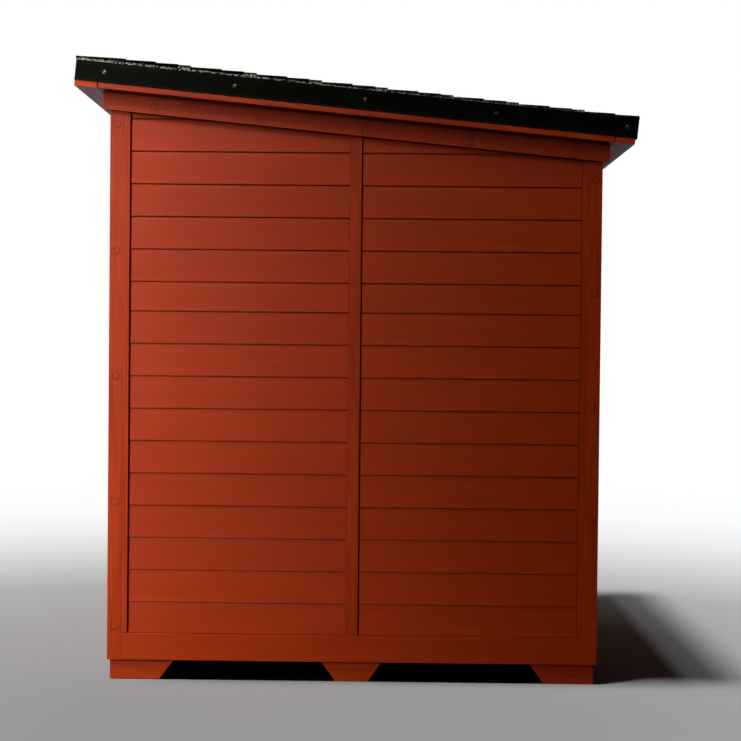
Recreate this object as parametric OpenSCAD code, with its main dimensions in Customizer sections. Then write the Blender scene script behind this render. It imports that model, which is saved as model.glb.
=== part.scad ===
// Outdoor infrared sauna: a lean-to cabin of framed panels with lap siding on
// notched runners, under a shingled roof of one slope.
// Origin: on the ground, under the middle of the plan. The high front faces -Y.

/* [Cabin] */
// Width of the cabin across the front, over the corner boards
body_w = 1727; // [1400:1:2000]
// Depth of the cabin from front to back, over the corner boards
body_d = 1727; // [1500:1:2000]
// Height of the siding that shows between the door frame and the front frieze
over_door_h = 60; // [40:1:140]
// Fall of the roof from front to back, in degrees
roof_slope = 5.5; // [4:0.1:6]
// Thickness of a wall's frame behind its siding
frame_t = 45; // [38:1:60]

/* [Base] */
// Height of the feet under the bottom rails
foot_h = 69; // [50:1:80]
// Height of a base runner
runner_h = 120; // [110:1:130]
// Thickness of a base runner
runner_t = 42; // [36:1:60]
// Length of an end foot where it stands on the ground
end_foot_l = 175.5; // [120:0.5:220]
// Length of the middle foot where it stands on the ground
mid_foot_l = 115; // [80:1:160]
// Run of the sloping side of a notch
notch_run = 51; // [30:1:70]
// Set-back of the feet behind the faces of the corner boards
foot_inset = 9.5; // [8:0.5:16]

/* [Trim] */
// Thickness of the corner boards
board_t = 20; // [18:1:25]
// Width of a corner board's face
corner_w = 49; // [40:1:70]
// Width of a panel stile's face
stile_w = 21; // [15:1:30]
// Width of the stile where a wall's two panels meet
middle_stile_w = 40; // [30:1:60]
// Set-back of stiles and rails behind the corner boards
stile_setback = 2; // [1:0.5:4]
// Height of a bottom rail
rail_h = 94; // [85:1:100]
// Thickness of a frieze board
frieze_t = 22; // [18:1:25]
// Height of a frieze board below the roof boards
frieze_drop = 60; // [50:1:80]

/* [Siding] */
// Height of a full lap course
lap_exposure = 114.3; // [100:0.1:125]
// Height of the lowest lap course, above the rail
lowest_course = 110; // [90:1:114]
// Height of the one narrow course
narrow_course = 103.8; // [80:0.1:114]
// Number of courses below the narrow one
courses_below = 10; // [8:1:12]
// Set-back of a lap's lower edge behind the corner boards
siding_setback = 8; // [6:0.5:10]
// Depth of the step from a lap to the one below
lap_step = 4.5; // [3:0.5:7]

/* [Door] */
// Width of the door leaf's pocket in its frame
door_w = 640; // [560:1:700]
// Height of the door leaf's pocket above the threshold
door_h = 1720; // [1600:1:1900]
// Width of a door frame member's face
door_frame_w = 45; // [35:1:60]
// Width of the stop behind the leaf
door_stop = 12; // [8:1:20]
// Thickness of the door leaf
door_t = 38; // [30:1:42]
// Clearance round the door leaf
door_gap = 3; // [2:0.5:5]
// Width of the leaf's two upright members
leaf_stile_w = 120; // [100:1:150]
// Height of the leaf's bottom rail
leaf_foot_rail_h = 170; // [120:1:220]
// Height of its middle and top rails
leaf_rail_h = 110; // [80:1:140]
// Height of the middle rail's underside above the leaf's foot
leaf_middle = 850; // [700:1:1000]
// Depth of the boarded panels behind either face of the leaf
panel_recess = 9; // [4:0.5:12]
// Number of upright boards in a panel
panel_boards = 4; // [2:1:6]
// Depth of the V joint between two boards
panel_v = 3; // [1:0.5:4]
// Thickness of the threshold
threshold_t = 14; // [10:1:20]
// Height of the pull bar's middle above the threshold
handle_h = 900; // [700:1:1100]
// Length of the door's pull bar
handle_l = 400; // [250:1:600]
// Diameter of the door's pull bar
handle_d = 32; // [25:1:38]
// Chamfer round the pull bar's ends
handle_ease = 4; // [2:0.5:6]
// Clear reach of the pull bar off the leaf
handle_reach = 30; // [25:1:40]
// Diameter of a hinge barrel
hinge_d = 14; // [10:1:18]
// Length of a hinge barrel
hinge_l = 90; // [70:1:120]
// Width of a hinge plate over frame and leaf
hinge_plate_w = 60; // [50:1:70]

/* [Roof] */
// Overhang of the roof past the front corner boards
front_overhang = 111; // [90:1:130]
// Overhang of the roof past the corner boards at the back and at the sides
overhang = 103; // [80:1:120]
// Thickness of the flat eave and rake boards
roof_board_t = 19; // [18:1:25]
// Height of the metal drip edge's face
drip_h = 70; // [60:1:80]
// Thickness of the metal drip edge
drip_t = 3; // [2:0.5:4]
// Width of the drip edge's flange under the shingles
drip_flange = 60; // [40:1:80]
// Pitch of each shingle against the roof it lies on, in degrees
shingle_tilt = 2.4; // [1.5:0.1:3]
// Depth of the first shingle course, along the front eave
first_course = 171; // [140:0.5:190]
// Thickness of the first course along the front eave
first_course_t = 12.5; // [10:0.5:16]
// Thickness of the shingles where the second course starts
shingle_t = 16; // [12:0.5:20]
// Thickness to which they thin out at the back eave
shingle_back_t = 3; // [2:0.5:8]

/* [Hidden] */

paint = "#a53f26";        // red paint of siding, trim and roof boards
bare_wood = "#c79a6b";    // clear wood of frames, floor and roof panel
black_metal = "#1a1b18";  // coated metal of drip edges and hinges
asphalt = "#35372f";      // shingles

half_w = body_w / 2;
half_d = body_d / 2;
rail_top = foot_h + rail_h;
floor_t = rail_top - runner_h;          // the floor is level with the rails' tops
stile_t = board_t - stile_setback;      // thickness of stiles and rails
wall_t = board_t + frame_t;             // from a corner board's face to the inside

door_frame_o = door_w + 2 * door_frame_w;
door_x = (body_w - door_w) / 2;         // from the wall's left end to the pocket
door_sill = rail_top + threshold_t;
door_head = door_sill + door_h;
leaf_w = door_w - 2 * door_gap;
leaf_h = door_h - 2 * door_gap;
panel_w = leaf_w - 2 * leaf_stile_w;

// Lower edge of the roof boards along the front eave, over the door and frieze
eave_h = door_head + door_frame_w + over_door_h + frieze_drop
    + front_overhang * tan(roof_slope);
tall = eave_h + 2 * overhang;           // above every wall before the roof trims it
roof_w = body_w + 2 * overhang;
roof_l = (body_d + front_overhang + overhang) / cos(roof_slope);  // along the slope
// Inner edges of the front and the back eave board, against the level friezes
front_joint = (front_overhang - frieze_t) / cos(roof_slope) - roof_board_t * tan(roof_slope);
back_joint = roof_l - (overhang - frieze_t) / cos(roof_slope);
deck_z = roof_board_t + drip_h;         // shingle underside above the roof boards' foot
course_pattern = [105, 79, 42.8];       // repeating depths of the laminated courses
course_lift = [0, 1.4, 2.8];            // their extra thickness, lap on lap
least_course = 15;                      // a shorter rest joins the course before it

hinge_plate_t = 3;
hinge_places = [0.12, 0.5, 0.88];       // of the leaf's height
handle_post_d = 18;
handle_post_inset = 60;                 // from the bar's ends to its two posts
$fn = 48;

// Height of the roof boards' lower face over the plan position y
function soffit_z(y) = eave_h - (y + half_d + front_overhang) * tan(roof_slope);

// Height of the i-th lap's lower edge, and the number of laps under a limit
function lap_z(i) = i == 0 ? rail_top
    : rail_top + lowest_course + (i - 1) * lap_exposure
        - (i > courses_below ? lap_exposure - narrow_course : 0);
function lap_count(limit, i = 0) = lap_z(i) >= limit ? i : lap_count(limit, i + 1);

// End of the i-th shingle course along the slope, and the number of courses
function course_end(i) = i == 0 ? first_course
    : course_end(i - 1) + course_pattern[(i - 1) % len(course_pattern)];
function course_count(i = 0) = course_end(i) >= roof_l - least_course ? i + 1 : course_count(i + 1);
function course_start(i) = i == 0 ? 0 : course_end(i - 1);

// Thickness at the upper end of the i-th course
function course_t(i) = i == 0 ? first_course_t
    : shingle_t + course_lift[(i - 1) % len(course_lift)]
        - (shingle_t - shingle_back_t) * (course_start(i) - first_course) / (roof_l - first_course);

// Wall frame: x along the wall from its left end seen from outside, y inwards
// from the faces of the corner boards
module on_front() { translate([-half_w, -half_d, 0]) children(); }
module on_back() { translate([half_w, half_d, 0]) rotate([0, 0, 180]) children(); }
module on_right() { translate([half_w, -half_d, 0]) rotate([0, 0, 90]) children(); }
module on_left() { translate([-half_w, half_d, 0]) rotate([0, 0, -90]) children(); }

// Roof frame: y down the slope from the front edge, z square to the roof from
// the lower face of the roof boards
module on_slope() {
    translate([0, -half_d - front_overhang, eave_h]) rotate([-roof_slope, 0, 0]) children();
}

// What lies below the roof panel
module under_roof() {
    intersection() {
        children();
        on_slope() translate([-roof_w, -roof_l, roof_board_t - 2 * tall])
            cube([2 * roof_w, 3 * roof_l, 2 * tall]);
    }
}

// Lap siding as one saw-tooth section: each lap is thickest at its lower edge
module siding_run(from, to) {
    teeth = [for (i = [0 : lap_count(tall) - 1]) each [
        [siding_setback, lap_z(i)],
        [siding_setback + lap_step, lap_z(i + 1)]]];
    translate([from, 0, 0]) rotate([90, 0, 90]) linear_extrude(to - from)
        polygon(concat([[board_t, rail_top]], teeth, [[board_t, lap_z(lap_count(tall))]]));
}

// The siding of a wall's two panels; the inset is that of its corner boards
module wall_siding(length, inset) {
    edge = inset + corner_w + stile_w;
    middle = (length - middle_stile_w) / 2;
    siding_run(edge, middle);
    siding_run(length - middle, length - edge);
}

// The stiles at a wall's two ends and where its two panels meet
module wall_stiles(length, inset) {
    edge_stiles(length, inset);
    stile((length - middle_stile_w) / 2, middle_stile_w);
}
module edge_stiles(length, inset) {
    for (x = [inset + corner_w, length - inset - corner_w - stile_w]) stile(x, stile_w);
}
module stile(x, width) {
    translate([x, stile_setback, rail_top]) cube([width, stile_t, tall - rail_top]);
}

// The bottom rail between a wall's corner boards
module wall_rail(length, inset) {
    translate([inset + corner_w, stile_setback, foot_h])
        cube([length - 2 * (inset + corner_w), stile_t, rail_h]);
}

// The corner boards at both ends of a wall
module wall_corners(length, inset) {
    for (x = [inset, length - inset - corner_w])
        translate([x, 0, foot_h]) cube([corner_w, board_t, tall - foot_h]);
}

// A stretch of the wall's frame, standing on the floor
module wall_core(from, to, bottom = rail_top) {
    translate([from, board_t, bottom]) cube([to - from, frame_t, tall - bottom]);
}

// The frieze across the front or back, on the corner boards
module level_frieze(y) {
    z = soffit_z(y) - frieze_drop;
    translate([0, -frieze_t, z]) cube([body_w, frieze_t, tall - z]);
}

// The frieze down the right side, with upright ends over those of the level ones
module raked_frieze() {
    intersection() {
        on_slope() translate([half_w, -roof_l, -frieze_drop])
            cube([frieze_t, 3 * roof_l, frieze_drop + roof_board_t]);
        translate([half_w, -half_d - frieze_t, 0])
            cube([frieze_t, body_d + 2 * frieze_t, tall]);
    }
}

// A runner's outline along the depth: three feet, stepped back above them at
// both ends for the rails
module runner_outline() {
    l = body_d - 2 * foot_inset;
    step = board_t - foot_inset;
    half = [[l / 2, runner_h], [step, runner_h], [step, foot_h], [0, foot_h], [0, 0],
        [end_foot_l, 0], [end_foot_l + notch_run, foot_h],
        [l / 2 - mid_foot_l / 2 - notch_run, foot_h], [l / 2 - mid_foot_l / 2, 0],
        [l / 2, 0]];
    polygon(concat(half, [for (i = [len(half) - 2 : -1 : 1]) [l - half[i][0], half[i][1]]]));
}

// A runner with its outline centred across the thickness
module runner() {
    translate([-runner_t / 2, foot_inset - half_d, 0]) rotate([90, 0, 90])
        linear_extrude(runner_t) runner_outline();
}

// A side runner: its upper part is rebated for the side rail
module side_runner() {
    difference() {
        translate([half_w - foot_inset - runner_t / 2, 0, 0]) runner();
        translate([half_w - board_t, -body_d, foot_h])
            cube([2 * board_t, 2 * body_d, runner_h]);
    }
}

module base_runner_right() { color(paint) side_runner(); }
module base_runner_left() { color(paint) mirror([1, 0, 0]) side_runner(); }
module base_runner_middle() { color(paint) runner(); }

module floor_panel() {
    color(bare_wood) translate([board_t - half_w, board_t - half_d, runner_h])
        cube([body_w - 2 * board_t, body_d - 2 * board_t, floor_t]);
}

// Side walls: their corner boards and frames run the full depth
module right_wall_frame() {
    color(bare_wood) under_roof() on_right() wall_core(board_t, body_d - board_t);
}
module right_siding() { color(paint) under_roof() on_right() wall_siding(body_d, 0); }
module right_stiles() { color(paint) under_roof() on_right() wall_stiles(body_d, 0); }
module right_bottom_rail() { color(paint) on_right() wall_rail(body_d, 0); }
module right_corner_boards() { color(paint) under_roof() on_right() wall_corners(body_d, 0); }
module right_frieze() { color(paint) raked_frieze(); }

module left_wall_frame() {
    color(bare_wood) under_roof() on_left() wall_core(board_t, body_d - board_t);
}
module left_siding() { color(paint) under_roof() on_left() wall_siding(body_d, 0); }
module left_stiles() { color(paint) under_roof() on_left() wall_stiles(body_d, 0); }
module left_bottom_rail() { color(paint) on_left() wall_rail(body_d, 0); }
module left_corner_boards() { color(paint) under_roof() on_left() wall_corners(body_d, 0); }
module left_frieze() { color(paint) mirror([1, 0, 0]) raked_frieze(); }

// Back wall: it fits between the side walls
module back_wall_frame() {
    color(bare_wood) under_roof() on_back() wall_core(wall_t, body_w - wall_t);
}
module back_siding() { color(paint) under_roof() on_back() wall_siding(body_w, board_t); }
module back_stiles() { color(paint) under_roof() on_back() wall_stiles(body_w, board_t); }
module back_bottom_rail() { color(paint) on_back() wall_rail(body_w, board_t); }
module back_corner_boards() {
    color(paint) under_roof() on_back() wall_corners(body_w, board_t);
}
module back_frieze() { color(paint) under_roof() on_back() level_frieze(half_d + frieze_t); }

// Front wall: split beside and over the doorway
module front_wall_left() {
    color(bare_wood) under_roof() on_front() wall_core(wall_t, door_x - door_frame_w);
}
module front_wall_right() {
    color(bare_wood) under_roof() on_front()
        wall_core(body_w - door_x + door_frame_w, body_w - wall_t);
}
module front_wall_over_door() {
    color(bare_wood) under_roof() on_front()
        wall_core(door_x - door_frame_w, body_w - door_x + door_frame_w,
            door_head + door_frame_w);
}
module front_siding() {
    edge = board_t + corner_w + stile_w;
    color(paint) under_roof() on_front() difference() {
        siding_run(edge, body_w - edge);
        translate([door_x - door_frame_w, -board_t, 0])
            cube([door_frame_o, 3 * board_t, door_head + door_frame_w]);
    }
}
module front_stiles() { color(paint) under_roof() on_front() edge_stiles(body_w, board_t); }
module front_bottom_rail() { color(paint) on_front() wall_rail(body_w, board_t); }
module front_corner_boards() {
    color(paint) under_roof() on_front() wall_corners(body_w, board_t);
}
module front_frieze() { color(paint) under_roof() on_front() level_frieze(-half_d); }

// Door frame with a stop behind the leaf
module door_frame() {
    color(paint) on_front() difference() {
        translate([door_x - door_frame_w, stile_setback, rail_top])
            cube([door_frame_o, wall_t - stile_setback, door_head + door_frame_w - rail_top]);
        translate([door_x, -board_t, door_sill])
            cube([door_w, board_t + stile_setback + door_t, door_h]);
        translate([door_x + door_stop, -board_t, 0])
            cube([door_w - 2 * door_stop, 2 * wall_t, door_head - door_stop]);
    }
}
module door_threshold() {
    color(paint) on_front() translate([door_x + door_stop, stile_setback, rail_top])
        cube([door_w - 2 * door_stop, wall_t - stile_setback, threshold_t]);
}
// Door leaf: stiles and rails round two panels of upright boards, alike on both faces
module door_leaf() {
    panels = [[leaf_foot_rail_h, leaf_middle], [leaf_middle + leaf_rail_h, leaf_h - leaf_rail_h]];
    color(paint) on_front()
        translate([door_x + door_gap, stile_setback, door_sill + door_gap]) difference() {
            cube([leaf_w, door_t, leaf_h]);
            for (panel = panels)
                translate([leaf_stile_w, 0, panel[0]]) linear_extrude(panel[1] - panel[0]) {
                    panel_recess_plan();
                    translate([0, door_t]) mirror([0, 1]) panel_recess_plan();
                }
        }
}
// Plan of the recess before a panel's boards, with the V joints between them
module panel_recess_plan() {
    translate([0, -panel_recess]) square([panel_w, 2 * panel_recess]);
    for (k = [1 : panel_boards - 1])
        translate([k * panel_w / panel_boards, panel_recess]) rotate(45)
            square(panel_v * sqrt(2), center = true);
}
module door_hinges() {
    color(black_metal) on_front() for (place = hinge_places)
        translate([door_x + door_gap / 2, stile_setback, door_sill + place * door_h]) {
            translate([-hinge_plate_w / 2, -hinge_plate_t, -hinge_l / 2])
                cube([hinge_plate_w, hinge_plate_t, hinge_l]);
            translate([0, -hinge_d / 2, -hinge_l / 2]) cylinder(h = hinge_l, d = hinge_d);
        }
}
module door_handle() {
    bar_r = handle_d / 2;
    bar_y = -handle_reach - bar_r;
    color(bare_wood) on_front()
        translate([door_x + door_w - 3 * handle_d, stile_setback, door_sill + handle_h]) {
            translate([0, bar_y, -handle_l / 2]) rotate_extrude()
                polygon([[0, 0], [bar_r - handle_ease, 0], [bar_r, handle_ease],
                    [bar_r, handle_l - handle_ease], [bar_r - handle_ease, handle_l],
                    [0, handle_l]]);
            for (z = [handle_post_inset - handle_l / 2, handle_l / 2 - handle_post_inset])
                translate([0, bar_y, z]) rotate([-90, 0, 0])
                    cylinder(h = -bar_y, d = handle_post_d);
        }
}

// Roof panel on the walls, rebated at its edges for the drip edge's flange
module roof_panel() {
    color(bare_wood) on_slope() {
        translate([drip_t - roof_w / 2, drip_t, roof_board_t])
            cube([roof_w - 2 * drip_t, roof_l - 2 * drip_t, drip_h - drip_t]);
        translate([drip_flange - roof_w / 2, drip_flange, roof_board_t])
            cube([roof_w - 2 * drip_flange, roof_l - 2 * drip_flange, drip_h]);
    }
}

// An eave board between two distances down the slope, against a level frieze
module eave_board(from, to) {
    color(paint) on_slope() translate([drip_t - roof_w / 2, from, 0])
        cube([roof_w - 2 * drip_t, to - from, roof_board_t]);
}
module front_eave_board() { eave_board(drip_t, front_joint); }
module back_eave_board() { eave_board(back_joint, roof_l - drip_t); }

// The rake board between the eave boards, on the right
module rake_board() {
    color(paint) on_slope() translate([half_w + frieze_t, front_joint, 0])
        cube([overhang - frieze_t - drip_t, back_joint - front_joint, roof_board_t]);
}
module right_rake_board() { rake_board(); }
module left_rake_board() { mirror([1, 0, 0]) rake_board(); }

// Drip edges: a face down the roof's edge and a flange under the shingles
module eave_drip() {
    translate([-roof_w / 2, 0, roof_board_t]) cube([roof_w, drip_t, drip_h]);
    translate([-roof_w / 2, 0, deck_z - drip_t]) cube([roof_w, drip_flange, drip_t]);
}
module rake_drip() {
    translate([roof_w / 2 - drip_t, drip_t, roof_board_t])
        cube([drip_t, roof_l - 2 * drip_t, drip_h]);
    translate([roof_w / 2 - drip_flange, drip_flange, deck_z - drip_t])
        cube([drip_flange, roof_l - 2 * drip_flange, drip_t]);
}
module front_drip_edge() { color(black_metal) on_slope() eave_drip(); }
module back_drip_edge() {
    color(black_metal) on_slope() translate([0, roof_l, 0]) mirror([0, 1, 0]) eave_drip();
}
module right_drip_edge() { color(black_metal) on_slope() rake_drip(); }
module left_drip_edge() { color(black_metal) on_slope() mirror([1, 0, 0]) rake_drip(); }

// Shingles as one stepped section: each course is thickest at its lower end
module roof_shingles() {
    steps = [for (i = [0 : course_count() - 1])
        let (start = course_start(i), end = i == course_count() - 1 ? roof_l : course_end(i))
        each [[start, deck_z + course_t(i)],
            [end, deck_z + course_t(i) + (end - start) * tan(shingle_tilt)]]];
    color(asphalt) on_slope() translate([-roof_w / 2, 0, 0]) rotate([90, 0, 90])
        linear_extrude(roof_w) polygon(concat([[0, deck_z]], steps, [[roof_l, deck_z]]));
}

base_runner_left();
base_runner_middle();
base_runner_right();
floor_panel();
right_wall_frame();
right_siding();
right_stiles();
right_bottom_rail();
right_corner_boards();
right_frieze();
left_wall_frame();
left_siding();
left_stiles();
left_bottom_rail();
left_corner_boards();
left_frieze();
back_wall_frame();
back_siding();
back_stiles();
back_bottom_rail();
back_corner_boards();
back_frieze();
front_wall_left();
front_wall_right();
front_wall_over_door();
front_siding();
front_stiles();
front_bottom_rail();
front_corner_boards();
front_frieze();
door_frame();
door_leaf();
door_hinges();
door_handle();
door_threshold();
roof_panel();
front_eave_board();
back_eave_board();
left_rake_board();
right_rake_board();
front_drip_edge();
back_drip_edge();
left_drip_edge();
right_drip_edge();
roof_shingles();
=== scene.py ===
import math

import bpy
import numpy as np
from mathutils import Matrix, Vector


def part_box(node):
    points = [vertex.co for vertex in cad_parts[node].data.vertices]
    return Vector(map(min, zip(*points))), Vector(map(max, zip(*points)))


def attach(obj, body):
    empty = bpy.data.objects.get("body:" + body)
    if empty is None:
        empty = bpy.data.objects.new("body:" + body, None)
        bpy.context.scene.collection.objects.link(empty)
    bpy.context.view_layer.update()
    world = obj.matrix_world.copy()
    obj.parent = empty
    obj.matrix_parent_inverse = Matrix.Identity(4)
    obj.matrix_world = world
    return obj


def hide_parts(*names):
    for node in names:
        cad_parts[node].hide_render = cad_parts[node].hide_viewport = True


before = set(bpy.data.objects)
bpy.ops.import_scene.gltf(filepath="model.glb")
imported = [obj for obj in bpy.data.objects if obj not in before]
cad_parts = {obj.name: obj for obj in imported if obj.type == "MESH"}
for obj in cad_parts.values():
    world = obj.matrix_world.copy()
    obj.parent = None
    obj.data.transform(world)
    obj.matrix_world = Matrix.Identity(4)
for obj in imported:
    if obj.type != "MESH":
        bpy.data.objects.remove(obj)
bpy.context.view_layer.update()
print("stage: frame loaded")

# Outdoor infrared sauna cabin. Metres, z up, the door faces -Y, the roof falls towards +Y.
# A board is a closed section carried along its length; a piece is a set of such closed shells.

mm = 0.001
dice = np.random.default_rng(11)
boardTone, otherTone = 0.015, 0.03    # how far the shells' tones differ by chance


def boxOf(node):
    lo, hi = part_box(node)
    return np.array(lo), np.array(hi)


# places taken from the frame
cornerLo, cornerHi = boxOf("right_corner_boards")
railLo, railHi = boxOf("right_bottom_rail")
dripLo, dripHi = boxOf("front_drip_edge")

trim = {
    "halfWidth": cornerHi[0],
    "halfDepth": cornerHi[1],
    "boardT": 20 * mm,        # corner boards
    "cornerW": 49 * mm,
    "stileW": 21 * mm,
    "middleStileW": 40 * mm,
    "setback": 0.9 * mm,      # of stiles and rails behind the corner boards
    "friezeT": 22 * mm,
    "friezeDrop": 60 * mm,
    "clear": 0.5 * mm,        # of the boards' tops below the roof panel
    "footTop": railLo[2],
    "railTop": railHi[2],
}

roof = {
    "slope": math.radians(5.5),
    "boardT": 19 * mm,        # eave and rake boards
    "dripT": 3 * mm,          # room for the metal and its screws
    "behind": 1.8 * mm,       # of the boards' outer edges behind that room
    "joint": 2.2 * mm,        # open between rake and eave boards
    "dripH": 70 * mm,
    "halfWidth": dripHi[0],
}
sinS = math.sin(roof["slope"])
cosS = math.cos(roof["slope"])
tanS = math.tan(roof["slope"])
roof["front"] = dripLo[1] - roof["boardT"] * sinS
roof["height"] = dripLo[2] + roof["dripT"] * sinS - roof["boardT"] * cosS
overhang = {"front": -trim["halfDepth"] - roof["front"],
            "back": roof["halfWidth"] - trim["halfWidth"]}
roof["length"] = (2 * trim["halfDepth"] + overhang["front"] + overhang["back"]) / cosS
roof["deck"] = roof["boardT"] + roof["dripH"]
frontJoint = (overhang["front"] - trim["friezeT"]) / cosS - roof["boardT"] * tanS
backJoint = roof["length"] - (overhang["back"] - trim["friezeT"]) / cosS

# each wall by its outward direction: its left end seen from outside, the direction along it and
# the direction inwards
halfW = trim["halfWidth"]
halfD = trim["halfDepth"]
walls = {}
for side, x, y in (("right", 1, 0), ("left", -1, 0), ("front", 0, -1), ("back", 0, 1)):
    away, reach = (halfW, halfD) if x else (halfD, halfW)
    walls[side] = {"origin": (x * away + y * reach, y * away - x * reach), "along": (-y, x),
                   "inward": (-x, -y), "length": 2 * reach, "inset": 0.0 if x else trim["boardT"]}


def together(*parts):
    # the parts, spread to one shape, along a new last axis
    return np.stack(np.broadcast_arrays(*parts), -1)


def onWall(side, along, depth, height):
    # origin + along * direction along the wall + depth * direction inwards, at that height
    wall = walls[side]
    x = wall["origin"][0] + along * wall["along"][0] + depth * wall["inward"][0]
    y = wall["origin"][1] + along * wall["along"][1] + depth * wall["inward"][1]
    return together(x, y, height)


def onRoof(x, down, out):
    # down the slope from the front edge, out square to the roof from the roof boards' lower face
    y = roof["front"] + down * cosS + out * sinS
    z = roof["height"] - down * sinS + out * cosS
    return together(x, y, z)


def planeAt(side, along, out=None):
    # height of a plane parallel to the roof over a place along a wall, at the wall's face
    out = roof["boardT"] if out is None else out
    wall = walls[side]
    y = wall["origin"][1] + along * wall["along"][1]
    return roof["height"] + out / cosS - (y - roof["front"]) * tanS


# shells and pieces

def gridPatch(points, uv, edge, flip=False, keep=None):
    # rows x columns of points; each four neighbours are one face
    rows, columns = points.shape[:2]
    index = np.arange(rows * columns).reshape(rows, columns)
    quads = np.stack([index[:-1, :-1], index[:-1, 1:], index[1:, 1:], index[1:, :-1]], -1)
    quads = quads[keep] if keep is not None else quads.reshape(-1, 4)
    if flip:
        quads = quads[:, ::-1]
    edge = np.broadcast_to(edge, (rows, columns)).ravel()
    return {"points": points.reshape(-1, 3), "uv": uv.reshape(-1, 2), "edge": edge,
            "corners": quads.ravel(), "sizes": np.full(len(quads), 4)}


def capPatch(points, uv, edge, flip=False):
    # one flat face over a closed loop of points
    order = np.arange(len(points))
    return {"points": points, "uv": uv, "edge": np.broadcast_to(edge, len(points)),
            "corners": order[::-1] if flip else order, "sizes": np.array([len(points)])}


def joined(parts):
    # the parts' arrays end to end; a corner is the number of a point
    offset = np.cumsum([0] + [len(p["points"]) for p in parts])
    whole = {key: np.concatenate([p[key] for p in parts]) for key in parts[0]}
    whole["corners"] = np.concatenate([p["corners"] + o for p, o in zip(parts, offset)])
    return whole


def weld(patches, spread, tone=0):
    # joins the patches of one closed shell at equal points and turns its faces outwards:
    # the volume is the sum over faces of a point of the face dot its area vector, over 3;
    # chance moves the shell's map, and its tone by up to the spread
    whole = joined(patches)
    corners, sizes = whole["corners"], whole["sizes"]
    _, first, same = np.unique(np.round(whole["points"], 6), axis=0, return_index=True, return_inverse=True)
    faceUv = whole["uv"][corners] + dice.uniform(0, 40, 2)
    corners = same.ravel()[corners]
    points = whole["points"][first]
    start = np.cumsum(sizes) - sizes
    face = np.repeat(np.arange(len(sizes)), sizes)
    place = np.arange(len(corners)) - start[face]
    following = start[face] + (place + 1) % sizes[face]
    area = np.add.reduceat(np.cross(points[corners], points[corners[following]]), start)
    if np.sum(points[corners[start]] * area) < 0:
        backwards = start[face] + sizes[face] - 1 - place
        corners, faceUv = corners[backwards], faceUv[backwards]
    return {"points": points, "edge": whole["edge"][first], "uv": faceUv, "corners": corners,
            "sizes": sizes, "tone": np.full(len(points), tone + dice.uniform(-spread, spread))}


def closed(points, uv, edge, ends):
    # a tube of rows of points, and a flat face over its first and over its last row
    ends = np.broadcast_to(ends, points.shape[:2])
    caps = [capPatch(points[row, :-1], uv[row, :-1], ends[row, :-1], flip=row < 0) for row in (0, -1)]
    return weld([gridPatch(points, uv, edge)] + caps, otherTone)


def makePiece(name, shells, material, nodes=()):
    # puts the shells into one mesh with the map "grain" and the attributes "edge" and "tone"
    whole = joined(shells)
    mesh = bpy.data.meshes.new(name)
    faces = [f.tolist() for f in np.split(whole["corners"], np.cumsum(whole["sizes"])[:-1])]
    mesh.from_pydata(whole["points"], [], faces)
    grain = mesh.uv_layers.new(name="grain")
    grain.data.foreach_set("uv", whole["uv"].astype(np.float32).ravel())
    for key in ("edge", "tone"):
        layer = mesh.attributes.new(key, "FLOAT", "POINT")
        layer.data.foreach_set("value", whole[key].astype(np.float32))
    mesh.polygons.foreach_set("use_smooth", np.ones(len(mesh.polygons), bool))
    mesh.set_sharp_from_angle(angle=math.radians(40))
    mesh.materials.append(material)
    piece = bpy.data.objects.new(name, mesh)
    bpy.context.scene.collection.objects.link(piece)
    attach(piece, "root")
    if nodes:
        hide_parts(*nodes)


def quarter(acrossC, outC, radius, fromDeg, toDeg, steps=3):
    # an arc of the section: centre + radius * (cos, sin)
    a = np.radians(np.linspace(fromDeg, toDeg, steps + 1))
    return np.stack([acrossC + radius * np.cos(a), outC + radius * np.sin(a)], 1)


def runLength(outline):
    # length along an outline up to each of its points
    return np.r_[0, np.cumsum(np.hypot(*np.diff(outline, axis=0).T))]


section = {
    "lip": 1.3 * mm,          # lighter strip of the front beside the round, worn and partly a painted highlight
    "back": 0.6 * mm,         # chamfer of the back
    "step": 0.25,             # longest step along a board
    "tip": 4 * mm,            # from a board's end to its first full section
    "inset": 0.6,             # of the end's face, share of the round
}

plug = {
    "hole": 12.7 * mm,        # outer radius of the ring round a plug
    "radius": 11.1 * mm,
    "groove": 2.2 * mm,
    "patch": 19 * mm,         # half the length of board that a plug's patch takes
}


def plugPatch(place, around, centre, face, shear):
    # rings between the patch's border and a round plug: outside the ring groove, down its side,
    # along its floor and up on to the plug's slightly domed top
    hole, radius = plug["hole"], plug["radius"]
    rings = np.array([[hole, 0], [hole - 0.15 * mm, -0.25 * mm], [hole - 0.25 * mm, -plug["groove"]],
                      [radius + 0.2 * mm, -plug["groove"]], [radius, -0.3 * mm],
                      [radius - 0.5 * mm, -0.05 * mm], [radius * 0.5, 0], [radius * 0.2, 0]])
    angle = np.arctan2(around[:, 1] - centre[1], around[:, 0] - centre[0])
    along = np.vstack([around[:, 0], centre[0] + rings[:, :1] * np.cos(angle)])
    across = np.vstack([around[:, 1], centre[1] + rings[:, :1] * np.sin(angle)])
    out = face + np.r_[0, rings[:, 1]][:, None] + np.zeros_like(along)
    points = place(along, across, out)
    uv = together(along, across + shear * along)
    # painted shade darkens the ring groove and the plug's rim
    ringEdge = np.array([0, -0.8, -4.4, -5.4, -5.4, -2.3, 0, 0, 0])[:, None]
    return [gridPatch(points, uv, ringEdge, flip=True),
            capPatch(points[-1, :-1], uv[-1, :-1], 0.2)]


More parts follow.
